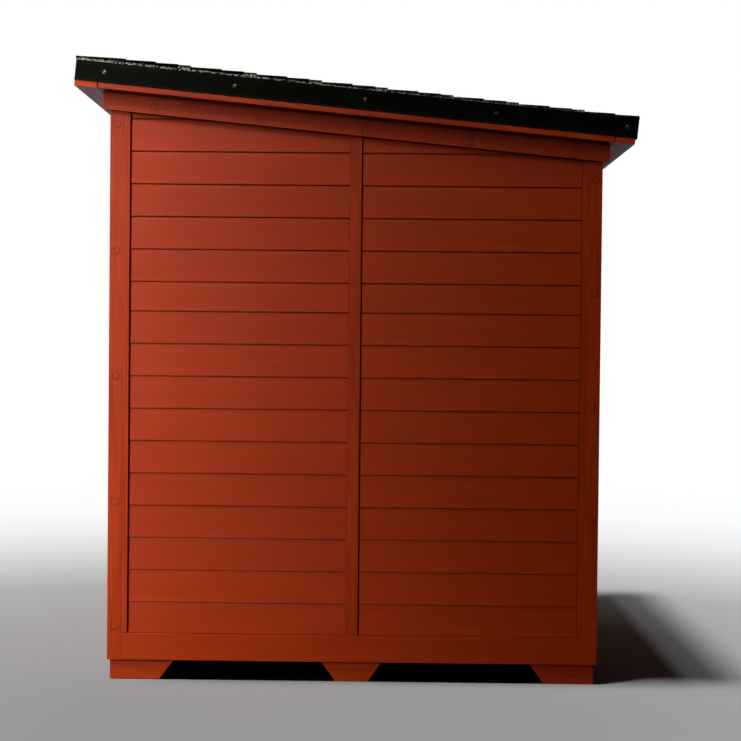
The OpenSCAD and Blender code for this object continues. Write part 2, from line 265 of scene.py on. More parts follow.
def boardSection(width, thick, soft, columns, paintedShade):
    # front face, quarter round, side, back with small chamfers, side, quarter round; paintedShade gives
    # the painted shade of the side at across = 0, the far side and the front, below nought where dark; the
    # rounds and the strips beside them are lighter, worn and partly a painted highlight
    under, over, front = paintedShade
    lip = soft + section["lip"]
    back = min(section["back"], thick / 4)
    at = np.r_[soft, np.linspace(lip, width - lip, columns), width - soft]
    flat = np.stack([at, np.full(len(at), thick)], 1)
    right = quarter(width - soft, thick - soft, soft, 90, 0)
    left = quarter(soft, thick - soft, soft, 180, 90)
    deep = (thick - soft) * 0.75
    rear = np.array([[width, deep], [width, back], [width - back, 0], [back, 0], [0, back], [0, deep]])
    outline = np.vstack([flat, right[1:], rear, left])
    flatEdge = np.full(len(at), float(front))
    flatEdge[[0, -1]] = 0.7 + front
    edge = np.r_[flatEdge, 1, 1, min(0.6, over + 0.6), over, over, over, under, under, under,
                 min(0.6, under + 0.6), 1, 1, 0.7]
    return outline, edge, len(at)


def board(place, start, end, width, thick, soft=1.2 * mm, columns=3, plugs=(), shear=0.0,
          paintedShade=(0, 0, 0), tips=1.0):
    # the section carried along from start to end, each a number or a function of (across, out);
    # place(along, across, out) gives the points, and the ends are softened by a small inset
    outline, edge, fronts = boardSection(width, thick, soft, columns, paintedShade)
    across, out = outline.T
    first, last = [at(across, out) if callable(at) else np.full(len(outline), float(at))
                   for at in (start, end)]
    near, far = first.max() + soft, last.min() - soft
    tip = min(section["tip"], (far - near) / 4)
    stations = np.linspace(near, far, int((far - near) / section["step"]) + 2)
    stations[[0, -1]] += np.array([tip, -tip])
    for centre, _ in plugs:
        stations = stations[np.abs(stations - centre) > plug["patch"] + 4 * mm]
    steps = [centre + plug["patch"] * np.linspace(-1, 1, 9) for centre, _ in plugs]
    stations = np.sort(np.concatenate([stations] + steps))
    middle = np.repeat(stations[:, None], len(outline), 1)
    along = np.vstack([first, first + soft * 0.7, middle, last - soft * 0.7, last])
    inset = soft * section["inset"]
    ends = np.stack([np.clip(across, inset, width - inset), np.clip(out, inset, thick - inset)])
    full = np.stack([across, out])
    rows = np.stack([ends] + [full] * (len(along) - 2) + [ends])
    points = place(along, rows[:, 0], rows[:, 1])
    uv = together(along, runLength(outline) + soft + shear * along)
    rowEdge = np.tile(edge, (len(along), 1))
    rowEdge[[0, 1, -2, -1]] = tips
    keep = np.ones((len(along) - 1, len(outline) - 1), bool)
    patches = []
    for centre, height in plugs:
        a, b = [np.argmin(np.abs(along[:, 0] - (centre + way * plug["patch"]))) for way in (-1, 1)]
        keep[a:b, :fronts - 1] = False
        low, high = [together(along[a:b + 1, 0], across[at]) for at in (0, fronts - 1)]
        fall, rise = [together(along[at, 0], across[:fronts]) for at in (a, b)]
        around = np.vstack([low, rise[1:], high[::-1][1:], fall[::-1][1:]])
        patches += plugPatch(place, around, (centre, height), thick, shear)
    patches.append(gridPatch(points, uv, rowEdge, keep=keep))
    patches += [capPatch(points[row, :-1], ends.T[:-1] * 0.5, 0.6, flip=row < 0) for row in (0, -1)]
    return weld(patches, boardTone)


def slab(place, outline, thick, soft=1.2 * mm, paintedShade=0.0):
    # a flat outline given thickness, its rim softened and a little lighter, worn and partly a painted
    # highlight: each corner of the inset outline moves along the mitre of its two sides; paintedShade is
    # how much darker the paint gets from its foot to its top, a painted shade
    ahead = np.roll(outline, -1, 0) - outline
    ahead /= np.hypot(*ahead.T)[:, None]
    normal = np.stack([-ahead[:, 1], ahead[:, 0]], 1)
    mitre = normal + np.roll(normal, 1, 0)
    mitre /= np.sum(mitre * normal, 1)[:, None]
    inner = outline + mitre * soft
    rings = [inner, outline, outline, inner]
    outs = [0, soft, thick - soft, thick]
    loop = np.stack([np.vstack([r, r[:1]]) for r in rings])
    out = np.array(outs)[:, None] + np.zeros(loop.shape[1])
    points = place(loop[..., 0], loop[..., 1], out)
    uv = together(loop[..., 0], loop[..., 1] + out)
    fall = paintedShade * (loop[..., 1] - outline[:, 1].min()) / np.ptp(outline[:, 1])
    return closed(points, uv, np.array([0.8, 1, 1, 0.8])[:, None] - fall, 0.3 - fall)


def turned(place, radii, heights, steps=32, edge=0.0):
    # radius as a function of height, turned about an axis: place(radius cos, radius sin, height)
    a = np.linspace(0, 2 * np.pi, steps + 1)
    radii = np.array(radii)[:, None]
    heights = np.array(heights)[:, None] + np.zeros(len(a))
    points = place(radii * np.cos(a), radii * np.sin(a), heights)
    return closed(points, together(heights, radii.max() * a), edge, edge)


# finishes

def newFinish(name):
    material = bpy.data.materials.new(name)
    material.use_nodes = True
    return material, material.node_tree


def put(tree, socket, value):
    # links a socket to another one, or sets its value
    if isinstance(value, bpy.types.NodeSocket):
        tree.links.new(value, socket)
    else:
        socket.default_value = value


def addNode(tree, kind, **values):
    # a node with its properties and its inputs put in by name
    node = tree.nodes.new("ShaderNode" + kind)
    for key, value in values.items():
        socket = node.inputs.get(key.replace("_", " "))
        if socket is None:
            setattr(node, key, value)
        else:
            put(tree, socket, value)
    return node


def noise(tree, vector, scale, detail, **values):
    return addNode(tree, "TexNoise", Vector=vector, Scale=scale, Detail=detail, **values).outputs["Fac"]


def stretched(tree, vector, scale):
    return addNode(tree, "Mapping", Vector=vector, Scale=scale).outputs["Vector"]


def grainMap(tree):
    return addNode(tree, "UVMap", uv_map="grain").outputs["UV"]


def ownPlace(tree):
    return addNode(tree, "TexCoord").outputs["Object"]


def grainNoise(tree, along, across, detail, roughness=0.55):
    # noise over the map stretched along the board
    return noise(tree, stretched(tree, grainMap(tree), (along, across, 1)), 1.0, detail,
                 noise_dimensions="2D", Roughness=roughness)


def ramp(tree, value, low, high, toLow, toHigh):
    # straight line through (low, toLow) and (high, toHigh), held at both ends
    node = addNode(tree, "MapRange")
    for socket, part in zip(node.inputs, (value, low, high, toLow, toHigh)):
        put(tree, socket, part)
    return node.outputs[0]


def combine(tree, how, first, *others):
    # the first value with each of the others in turn
    for other in others:
        node = addNode(tree, "Math", operation=how)
        put(tree, node.inputs[0], first)
        put(tree, node.inputs[1], other)
        first = node.outputs[0]
    return first


def plus(tree, *values):
    return combine(tree, "ADD", *values)


def times(tree, *values):
    return combine(tree, "MULTIPLY", *values)


def attribute(tree, name):
    return addNode(tree, "Attribute", attribute_name=name).outputs["Fac"]


def tinted(tree, colour, factor):
    # a colour times a factor that varies over the surface
    return addNode(tree, "VectorMath", operation="SCALE", Vector=colour, Scale=factor).outputs[0]


def colourRamp(tree, level, stops):
    # colours at their places; the ramp's own two stops take the first two
    node = addNode(tree, "ValToRGB", Fac=level)
    elements = node.color_ramp.elements
    for k, (where, colour) in enumerate(stops):
        stop = elements[k] if k < 2 else elements.new(where)
        stop.position = where
        stop.color = (*colour, 1)
    return node.outputs["Color"]


def dress(tree, colour, roughness, specular, height, distance, strength):
    # what the surface shader takes, and a bump that lifts it by distance
    bump = addNode(tree, "Bump", Strength=strength, Distance=distance, Height=height)
    shader = tree.nodes["Principled BSDF"]
    for key, value in (("Base Color", colour), ("Roughness", roughness),
                       ("Specular IOR Level", specular), ("Normal", bump.outputs["Normal"])):
        put(tree, shader.inputs[key], value)


paint = {
    "colour": (0.420, 0.0342, 0.0010),
    "roughness": 0.50,
    "specular": 0.23,
    "edgeWeight": 0.14,             # how much one step of the edge mark lightens the paint: worn edges that are partly a painted highlight; below nought it darkens the paint as a painted shade
    "level": {"streaks": 0.17, "bump": 0.25},     # how far the grain darkens and lifts the paint
    "upright": {"streaks": 0.42, "bump": 0.35},
    "streaked": {"streaks": 0.75, "bump": 0.40},
}


def paintFinish(name, kind):
    # red wood paint: fine grain streaks, broad brush bands, lighter edges that are worn and partly a
    # painted highlight, and a painted shade in grooves, open joints and under boards where the edge mark is
    # below nought:
    # shade = 1 + streaks * (grain + band / 2) / 2 + edge * edgeWeight + the board's own tone
    material, tree = newFinish(name)
    streak = grainNoise(tree, 4, 170, 4, roughness=0.6)
    pores = grainNoise(tree, 14, 520, 2)
    band = grainNoise(tree, 1.6, 22, 2)
    grain = plus(tree, ramp(tree, streak, 0.3, 0.7, -1, 1), ramp(tree, band, 0.3, 0.7, -0.5, 0.5))
    shade = plus(tree, times(tree, grain, kind["streaks"] * 0.5),
                 times(tree, attribute(tree, "edge"), paint["edgeWeight"]), attribute(tree, "tone"), 1.0)
    rough = ramp(tree, band, 0.2, 0.8, paint["roughness"] - 0.05, paint["roughness"] + 0.08)
    dress(tree, tinted(tree, paint["colour"], shade), rough, paint["specular"],
          plus(tree, streak, times(tree, pores, 0.5)), 0.4 * mm, kind["bump"])
    return material


metal = {
    "coat": {"colour": (0.0024, 0.0026, 0.0010), "roughness": 0.50, "specular": 0.04},
    "head": {"colour": (0.0100, 0.0105, 0.0090), "roughness": 0.30, "specular": 1.0},
}


def metalFinish(name, kind):
    # black powder coat: fine orange peel, faint rub marks, lighter worn edges:
    # shade = cloud + edge / 2
    material, tree = newFinish(name)
    place = ownPlace(tree)
    peel = noise(tree, place, 900.0, 2.0)
    cloud = noise(tree, place, 9.0, 4.0)
    rub = grainNoise(tree, 3, 260, 3)
    shade = plus(tree, ramp(tree, cloud, 0.3, 0.7, 0.85, 1.15), times(tree, attribute(tree, "edge"), 0.5))
    rough = ramp(tree, rub, 0.35, 0.75, kind["roughness"] - 0.06, kind["roughness"] + 0.12)
    dress(tree, tinted(tree, kind["colour"], shade), rough, kind["specular"], peel, 0.15 * mm, 0.25)
    return material


asphalt = {
    "dark": (0.006, 0.007, 0.005),
    "middle": (0.040, 0.044, 0.036),
    "light": (0.250, 0.275, 0.225),
    "pale": (0.440, 0.480, 0.360),
    "grain": 560.0,           # granules a metre
    "fleck": 190.0,           # clumps a metre on the cut edges
}


def shingleFinish(name):
    # mineral granules: each small cell takes a shade by chance, with more light ones in some
    # patches; a cut edge shows larger pale clumps in rows along the sheet, fewer where its wear
    # falls from 1 at its foot to 0.45 under the dark face of a thick sheet
    material, tree = newFinish(name)
    place = ownPlace(tree)

    def chance(scale, squash=(1, 1, 1)):
        cells = addNode(tree, "TexVoronoi", feature="F1", Scale=scale,
                        Vector=stretched(tree, place, squash))
        split = addNode(tree, "SeparateColor", Color=cells.outputs["Color"])
        return split.outputs[0], cells.outputs["Distance"]

    def coloured(level, stops):
        return colourRamp(tree, level, [(where, asphalt[colour]) for where, colour in stops])

    patch = noise(tree, place, 42.0, 3.0)
    fine, distance = chance(asphalt["grain"])
    clump, _ = chance(asphalt["grain"] / 3.2)
    level = plus(tree, times(tree, fine, 0.45), times(tree, clump, 0.35),
                 ramp(tree, patch, 0.3, 0.7, -0.15, 0.2), attribute(tree, "tone"))
    face = coloured(level, ((0.28, "dark"), (0.90, "light"), (0.62, "middle")))
    fleck, _ = chance(asphalt["fleck"], (1, 1, 1.5))
    edgeWeight = attribute(tree, "edge")
    cut = plus(tree, times(tree, fleck, 0.8), times(tree, fine, 0.2),
               ramp(tree, edgeWeight, 0.5, 0.85, -0.5, 0.02))
    edge = coloured(cut, ((0.42, "dark"), (0.64, "pale"), (0.53, "middle")))
    mix = addNode(tree, "Mix", data_type="RGBA", Factor=ramp(tree, edgeWeight, 0, 0.4, 0, 1))
    put(tree, mix.inputs[6], face)
    put(tree, mix.inputs[7], edge)
    dress(tree, mix.outputs[2], ramp(tree, fine, 0, 1, 0.80, 0.98), 0.15,
          combine(tree, "SUBTRACT", 1.0, distance), 0.8 * mm, 0.8)
    return material


timber = {"light": (0.60, 0.37, 0.19), "dark": (0.38, 0.20, 0.085)}


def timberFinish(name, stretch, mapped=False, roughness=0.6):
    # clear softwood: growth bands bent by noise and stretched along the grain, fine dark fibres:
    # level = 0.55 * (9 * bands, folded between 0 and 1) + fibres / 2
    material, tree = newFinish(name)
    place = stretched(tree, grainMap(tree) if mapped else ownPlace(tree), stretch)
    bands = noise(tree, place, 1.0, 2.0, Distortion=1.2)
    fibres = noise(tree, place, 9.0, 3.0)
    rings = combine(tree, "PINGPONG", times(tree, bands, 9.0), 1.0)
    level = plus(tree, times(tree, rings, 0.55), times(tree, fibres, 0.5))
    dress(tree, colourRamp(tree, level, ((0.15, timber["light"]), (0.95, timber["dark"]))),
          ramp(tree, fibres, 0.2, 0.8, roughness - 0.1, roughness + 0.1), 0.35, fibres, 0.3 * mm, 0.3)
    return material


levelPaint = paintFinish("redPaintLevel", paint["level"])
redPaint = paintFinish("redPaintUpright", paint["upright"])
streakedPaint = paintFinish("redPaintStreaked", paint["streaked"])
blackCoat = metalFinish("blackCoatedMetal", metal["coat"])
screwHead = metalFinish("blackScrewHead", metal["head"])
granules = shingleFinish("asphaltGranules")
uprightTimber = timberFinish("clearTimberUpright", (22, 22, 1.6))
flatTimber = timberFinish("clearTimberFlat", (22, 1.6, 22))
oiledTimber = timberFinish("oiledHandleTimber", (7, 60, 1), mapped=True, roughness=0.4)
print("stage: finishes made")


# walls

def uprightPlace(side, at, depth, thick):
    # along the board = height, across = along the wall, out = away from the cabin
    return lambda along, across, out: onWall(side, at + across, depth + thick - out, along)


def levelPlace(side, at, depth, thick, foot):
    # along the board = along the wall, across = height
    return lambda along, across, out: onWall(side, at + along, depth + thick - out, foot + across)


plugRows = {
    "count": 5,
    "lowest": trim["footTop"] + 115 * mm,   # on the corner boards
    "fromEnd": 25 * mm,
    "underFrieze": {"high": 44.3 * mm, "low": 65.3 * mm},   # on the taller and the shorter ones
    "firstOnRake": 158 * mm,
    "alongRake": 367.8 * mm,
    "rakeRise": (26.0 * mm, 13.9 * mm),     # over the raked friezes' feet, front and back
    "levelEnd": 130 * mm,
    "levelRise": 20 * mm,
}


def underRoof(side, at):
    # where a board standing there ends below the roof panel
    return lambda across, out: planeAt(side, at + across) - trim["clear"]


def cornerBoards(side):
    wall = walls[side]
    shells = []
    for at in (wall["inset"], wall["length"] - wall["inset"] - trim["cornerW"]):
        outer = plugRows["fromEnd"] if at < wall["length"] / 2 else trim["cornerW"] - plugRows["fromEnd"]
        under = planeAt(side, at + outer, -trim["friezeDrop"])
        tall = under > planeAt("right", halfD, -trim["friezeDrop"])
        topmost = under - plugRows["underFrieze"]["high" if tall else "low"]
        plugs = [(z, outer) for z in np.linspace(plugRows["lowest"], topmost, plugRows["count"])]
        shells.append(board(uprightPlace(side, at, 0, trim["boardT"]), trim["footTop"],
                            underRoof(side, at), trim["cornerW"], trim["boardT"], 0.6 * mm, 5, plugs))
    makePiece(side + "CornerBoards", shells, redPaint, [side + "_corner_boards"])


def stiles(side):
    wall = walls[side]
    edgeAt = wall["inset"] + trim["cornerW"]
    places = [(edgeAt, trim["stileW"]), (wall["length"] - edgeAt - trim["stileW"], trim["stileW"])]
    if side != "front":
        places.append(((wall["length"] - trim["middleStileW"]) / 2, trim["middleStileW"]))
    thick = trim["boardT"] - trim["setback"]
    foot = trim["railTop"] + laps["overRail"][0]
    # painted shade makes the stiles' fronts a little darker
    shells = [board(uprightPlace(side, at, trim["setback"], thick), foot, underRoof(side, at), width,
                    thick, 0.6 * mm, 4, paintedShade=(0, 0, -0.3), tips=-2) for at, width in places]
    makePiece(side + "Stiles", shells, redPaint, [side + "_stiles"])


def bottomRail(side):
    wall = walls[side]
    start = wall["inset"] + trim["cornerW"]
    thick = trim["boardT"] - trim["setback"]
    place = levelPlace(side, start, trim["setback"], thick, trim["footTop"])
    # painted shade darkens the rail's top side under the lowest lap
    shell = board(place, 0, wall["length"] - 2 * start, trim["railTop"] - trim["footTop"], thick,
                  0.7 * mm, 6, paintedShade=(0, -3, 0), tips=0)
    makePiece(side + "BottomRail", [shell], levelPaint, [side + "_bottom_rail"])


laps = {
    "exposure": 114.3 * mm,
    "lowest": 110 * mm,
    "narrow": 103.8 * mm,     # the one narrow course
    "below": 10,              # courses below it
    "setback": 8 * mm,        # of a lap's lower edge behind the corner boards
    "step": 4.5 * mm,
    "soft": 1.3 * mm,         # round of the lower edge
    "wearAndHighlightBand": 5.0 * mm,         # how far up from it the paint is a little lighter, worn and partly a painted highlight
    "cove": (18 * mm, 2.8 * mm),    # hollow under the next lap: height and depth
    "groove": (4.2 * mm, 2.6 * mm), # open groove at its top
    "waver": 0.25 * mm,
    "pace": 50 * mm,          # from one section of a board to the next
    "least": 4 * mm,          # under the roof a board ends where it gets lower than this
    "tongue": 1.5 * mm,       # from the wall's face to the front of its thinned start
    "clear": 0.2 * mm,        # at its start and behind it
    "joint": (5.0 * mm, 1.2 * mm),  # open at a board's start and at its end
    "overRail": (0.7 * mm, 0.9 * mm),   # open between the rail and the stiles, the lowest lap
    "shadeGrowth": (1.95, 1.6),     # the painted shade under a lap grows from the first height over the second
}


def lapHeight(i):
    if i == 0:
        return trim["railTop"]
    short = laps["exposure"] - laps["narrow"] if i > laps["below"] else 0
    return trim["railTop"] + laps["lowest"] + (i - 1) * laps["exposure"] - short


def waver(along, amount):
    # a slow random wave: two sines of chance phase and length
    phase = dice.uniform(0, 6.28, 2)
    pace = dice.uniform(3, 9, 2)
    return amount * (np.sin(along * pace[0] + phase[0]) + 0.6 * np.sin(along * pace[1] * 2 + phase[1]))


def lap(side, fromS, toS, low, high, foot=None):
    # one siding board: its face slopes back from the butt to a shallow cove and a groove under
    # the next lap: depth = setback + step * height / exposure + cove * (1 - fall / reach) ** 2,
    # where fall is the distance below the top; where the roof cuts it short, all heights shrink.
    # Lower laps have a shallower cove and more painted shade in it; at its start a board is thinned
    # to a tongue that closes the open joint from behind
    foot = low if foot is None else foot
    # how low the lap stands: the painted shade in its cove under the next lap grows with it, and its cove
    # and groove get shallower
    lowLapShade = np.clip((laps["shadeGrowth"][0] - low) / laps["shadeGrowth"][1], 0, 1)
    fromS, toS = fromS + laps["clear"], toS - laps["joint"][1]
    slope = planeAt(side, toS) - planeAt(side, fromS)
    least = foot + laps["least"]
    if max(planeAt(side, fromS), planeAt(side, toS)) < least + 1 * mm:
        return None
    if min(planeAt(side, fromS), planeAt(side, toS)) < least:
        crossing = fromS + (least - planeAt(side, fromS)) / slope * (toS - fromS)
        fromS, toS = (fromS, crossing) if slope < 0 else (crossing, toS)
    soft, wearAndHighlightBand = laps["soft"], laps["wearAndHighlightBand"]
    reach, hollow = laps["cove"]
    gap, cut = laps["groove"]
    arc = quarter(soft, soft, soft, 180, 270, 3)       # (depth, height) of the butt's round
    falls = np.array([0, gap - 0.5 * mm, gap, gap + 4 * mm, gap + 8.5 * mm, reach])
    lifts = np.r_[wearAndHighlightBand, arc[:, 1], 0]
    faceFrom = fromS + laps["joint"][0]
    along = np.linspace(faceFrom, toS, max(3, int((toS - faceFrom) / laps["pace"])))
    along = np.r_[fromS, faceFrom, along][:, None]
    top = np.minimum(high, planeAt(side, along))
    span = top - foot
    q = np.clip(span / (reach + wearAndHighlightBand + 6 * mm), 0, 1)
    middle = np.array([0.7, 0.35]) * (span - (reach + wearAndHighlightBand) * q) + wearAndHighlightBand * q
    # columns: 0-5 groove and cove, 6-8 face, 9-12 butt, 13-14 back
    height = foot + np.hstack([span - falls * q, middle, lifts * q, 0 * q, span])
    depth = laps["setback"] + laps["step"] * (height - low) / laps["exposure"]
    depth[:, :6] += hollow * (1 - 0.8 * lowLapShade) * (1 - falls / reach) ** 2
    depth[:, :2] += cut * (1 - 0.85 * lowLapShade)
    drift = waver(along, laps["waver"])
    depth[:, 6:9] += drift * 0.5
    depth[:, 9:13] = laps["setback"] + arc[:, 0] + drift * 0.5
    depth[:, 13:] = trim["boardT"] - laps["clear"]
    height[:, 9:14] += np.abs(drift) * 0.4
    depth[:2] = np.maximum(depth[:2], trim["boardT"] - laps["tongue"])
    height = np.hstack([height, height[:, :1]])
    depth = np.hstack([depth, depth[:, :1]])
    # edge per column: painted shade in the groove, the cove, under the butt and at the back, and a lighter
    # band up to the round, worn and partly a painted highlight
    edge = np.array([-2, -2, -1.2, 0, 0, 0, 0, 0, 0.35, 1, 1, 0.5, -1.5, -1.5, -1.5, -1.5, -2])
    edge[2:5] -= np.array([0.5, 1.0, 0.6]) * lowLapShade
    edge = np.tile(edge, (len(along), 1))
    # the thinned start behind the open joint is painted near black, a painted shade
    edge[:2] = -6.8
    uv = together(along, height + 3 * depth * (edge < -0.9))
    return closed(onWall(side, along, depth, height), uv, edge, 0.2)


def siding(side):
    wall = walls[side]
    edgeAt = wall["inset"] + trim["cornerW"] + trim["stileW"]
    middle = (wall["length"] - trim["middleStileW"]) / 2
    runs = [(edgeAt, middle), (wall["length"] - middle, wall["length"] - edgeAt)]
    frameLo, frameHi = boxOf("door_frame")
    doorL, doorR, head = halfW + frameLo[0], halfW + frameHi[0], frameHi[2]
    shells = []
    i = 0
    while lapHeight(i) < max(planeAt(side, 0), planeAt(side, wall["length"])):
        low, high = lapHeight(i), lapHeight(i + 1)
        low += laps["overRail"][1] if i == 0 else 0
        if side == "front":
            runs = [(edgeAt, doorL), (doorR, wall["length"] - edgeAt)]
            if low >= head:
                runs = [(edgeAt, wall["length"] - edgeAt)]
        shells += [lap(side, a, b, low, high) for a, b in runs]
        if side == "front" and low < head < high:
            shells.append(lap(side, doorL, doorR, low, high, foot=head))
        i += 1
    makePiece(side + "LapSiding", [s for s in shells if s], levelPaint, [side + "_siding"])


for side in walls:
    cornerBoards(side)
    stiles(side)
    bottomRail(side)
    siding(side)
print("stage: walls clad")


# friezes

def rakedFrieze(side, sign):
    # a board down the slope with upright ends: down = (y - front - out * sin) / cos
    reach = halfD + trim["friezeT"] - 0.3 * mm
    drop = trim["friezeDrop"]

    def place(along, across, out):
        return onRoof(sign * (halfW + out), along, across - drop)

    def cut(y):
        return lambda across, out: (y - roof["front"] - (across - drop) * sinS) / cosS

    places = plugRows["firstOnRake"] + plugRows["alongRake"] * np.arange(plugRows["count"]) - halfD
    rises = np.linspace(*plugRows["rakeRise"], plugRows["count"])
    plugs = [((y - roof["front"] - (r - drop) * sinS) / cosS, r) for y, r in zip(places, rises)]
    # painted shade makes the frieze's underside near black
    shell = board(place, cut(-reach), cut(reach), drop + roof["boardT"] - trim["clear"], trim["friezeT"],
                  0.9 * mm, 6, plugs, paintedShade=(-6.5, 0, 0))
    makePiece(side + "Frieze", [shell], levelPaint, [side + "_frieze"])


def levelFrieze(side):
    lo, hi = boxOf(side + "_frieze")
    width = hi[2] - lo[2] - trim["friezeT"] * tanS

    def place(along, across, out):
        return onWall(side, along, -out, lo[2] + across)

    length = walls[side]["length"]
    end = plugRows["levelEnd"]
    plugs = [(at, plugRows["levelRise"]) for at in np.linspace(end, length - end, plugRows["count"])]
    # painted shade makes the frieze's underside near black
    shell = board(place, 0, length, width, trim["friezeT"], 0.9 * mm, 6, plugs, paintedShade=(-6.5, 0, 0))
    makePiece(side + "Frieze", [shell], levelPaint, [side + "_frieze"])


rakedFrieze("right", 1)
rakedFrieze("left", -1)
levelFrieze("front")
levelFrieze("back")
print("stage: friezes up")


# base

base = {
    "runnerH": 120 * mm,
    "runnerT": 42 * mm,
    "endFoot": 175.5 * mm,
    "middleFoot": 115 * mm,
    "notchRun": 51 * mm,
    "inset": 9.5 * mm,
    "paintedShade": 3.4,              # painted shade: how much the feet darken up to the rail over them
}


def runnerShells(centre, beamFrom, beamTo):
    # three feet with sloping notch sides, and the beam over them behind the rails
    start, length = base["inset"] - halfD, 2 * (halfD - base["inset"])
    foot, end, run = trim["footTop"], base["endFoot"], base["notchRun"]
    half = base["middleFoot"] / 2
    first = np.array([[0, 0], [end, 0], [end + run, foot], [0, foot]])
    middle = np.array([[-half, 0], [half, 0], [half + run, foot], [-half - run, foot]]) + [length / 2, 0]
    last = np.array([[length - end, 0], [length, 0], [length, foot], [length - end - run, foot]])
    thick = base["runnerT"]
    place = lambda a, b, out: together(centre - thick / 2 + out, start + a, b)
    shells = [slab(place, outline, thick, 1.0 * mm, base["paintedShade"]) for outline in (first, middle, last)]
    rebate = trim["boardT"] - base["inset"]
    beam = np.array([[rebate, foot], [length - rebate, foot],
                     [length - rebate, base["runnerH"]], [rebate, base["runnerH"]]])
    place = lambda a, b, out: together(beamFrom + out, start + a, b)
    return shells + [slab(place, beam, beamTo - beamFrom, 1.0 * mm)]


def runners():
    half = base["runnerT"] / 2
    aside = halfW - base["inset"] - half
    inner, outer = aside - half, halfW - trim["boardT"]
    for side, places in (("right", (aside, inner, outer)), ("left", (-aside, -outer, -inner)),
                         ("middle", (0, -half, half))):
        makePiece(side + "Runner", runnerShells(*places), redPaint, ["base_runner_" + side])


runners()
print("stage: base set")


# door

door = {
    "stile": 120 * mm,
    "topRail": 110 * mm,
    "lockRail": 110 * mm,
    "bottomRail": 170 * mm,
    "lockHeight": 850 * mm,   # underside of the lock rail over the leaf's foot
    "panelBack": 9 * mm,      # panel boards behind the leaf's face
    "panelT": 20 * mm,
    "panelBoards": 4,
    "tongue": 4 * mm,         # of a panel board in the rails
    "frameFace": 45 * mm,
    "stop": 12 * mm,
    "leafT": 38 * mm,
}


def doorBoards(front, soft, columns):
    # makers of the door's uprights and rails, which lie a depth behind the front
    def upright(x, width, depth, thick, foot, top):
        place = lambda along, across, out: together(x + across, front + depth + thick - out, along)
        return board(place, foot, top, width, thick, soft, columns)

    def level(fromX, toX, z, height, depth, thick):
        place = lambda along, across, out: together(along, front + depth + thick - out, z + across)
        return board(place, fromX, toX, height, thick, soft, columns)

    return upright, level


def doorLeaf():
    lo, hi = boxOf("door_leaf")
    thick = hi[1] - lo[1]
    upright, level = doorBoards(lo[1], 1.6 * mm, 4)
    left, right = lo[0] + door["stile"], hi[0] - door["stile"]
    lock, top = lo[2] + door["lockHeight"], hi[2] - door["topRail"]
    shells = [upright(x, door["stile"], 0, thick, lo[2], hi[2]) for x in (lo[0], right)]
    rails = ((lo[2], door["bottomRail"]), (lock, door["lockRail"]), (top, door["topRail"]))
    shells += [level(left, right, z, height, 0, thick) for z, height in rails]
    width = (right - left) / door["panelBoards"]
    for low, high in ((lo[2] + door["bottomRail"], lock), (lock + door["lockRail"], top)):
        for k in range(door["panelBoards"]):
            shells.append(upright(left + k * width, width, door["panelBack"], door["panelT"],
                                  low - door["tongue"], high + door["tongue"]))
    makePiece("doorLeaf", shells, redPaint, ["door_leaf"])


def doorFrame():
    lo, hi = boxOf("door_frame")
    sill = boxOf("door_threshold")[1][2]
    face, stop, rebate = door["frameFace"], door["stop"], door["leafT"]
    deep = hi[1] - lo[1]
    head = hi[2] - face
    left, right = lo[0] + face, hi[0] - face - stop
    upright, level = doorBoards(lo[1], 1.2 * mm, 3)
    shells = [upright(x, face, 0, deep, lo[2], head) for x in (lo[0], hi[0] - face)]
    shells.append(level(lo[0], hi[0], head, face, 0, deep))
    shells += [upright(x, stop, rebate, deep - rebate, sill, head) for x in (left, right)]
    shells.append(level(left + stop, right, head - stop, stop, rebate, deep - rebate))
    shells += [upright(x, stop, 0, deep, lo[2], sill) for x in (left, right)]
    makePiece("doorFrame", shells, redPaint, ["door_frame"])


def threshold():
    lo, hi = boxOf("door_threshold")
    place = lambda along, across, out: together(along, hi[1] - across, lo[2] + out)
    shell = board(place, lo[0], hi[0], hi[1] - lo[1], hi[2] - lo[2], 2.5 * mm, 4)
    makePiece("doorThreshold", [shell], redPaint, ["door_threshold"])


# radius of a post, its distance from the bar's end, and the round of the bar's ends
pull = {"post": 9 * mm, "inset": 60 * mm, "round": 5 * mm}


def pullBar():
    # a turned bar with eased ends on two posts
    lo, hi = boxOf("door_handle")
    radius = (hi[0] - lo[0]) / 2
    x, y = (lo[0] + hi[0]) / 2, lo[1] + radius
    ease = np.radians(np.linspace(0, 90, 7))
    ends = pull["round"]
    radii = radius - ends + ends * np.sin(np.r_[ease, ease[::-1]])
    heights = np.r_[lo[2] + ends - ends * np.cos(ease), hi[2] - ends + ends * np.cos(ease[::-1])]
    shells = [turned(lambda a, b, h: together(x + a, y + b, h), radii, heights, 48)]
    # a post: its collar on the leaf, its shaft and its seat in the bar
    postR = pull["post"] * np.array([1.25, 1.25, 1, 1, 1.15])
    postY = [hi[1], hi[1] - 4 * mm, hi[1] - 7 * mm, y + 14 * mm, y + 9 * mm]
    for z in (lo[2] + pull["inset"], hi[2] - pull["inset"]):
        shells.append(turned(lambda a, b, h: together(x + a, h, z + b), postR, postY))
    makePiece("doorPullBar", shells, oiledTimber, ["door_handle"])


hinge = {"plateT": 3 * mm, "plateW": 60 * mm, "height": 90 * mm, "barrel": 14 * mm, "knuckles": 5,
         "proud": 0.6 * mm, "places": (0.12, 0.5, 0.88),
         "screws": ((0.16, 0.21), (0.5, -0.12), (0.84, 0.21))}  # share of the height, of the width


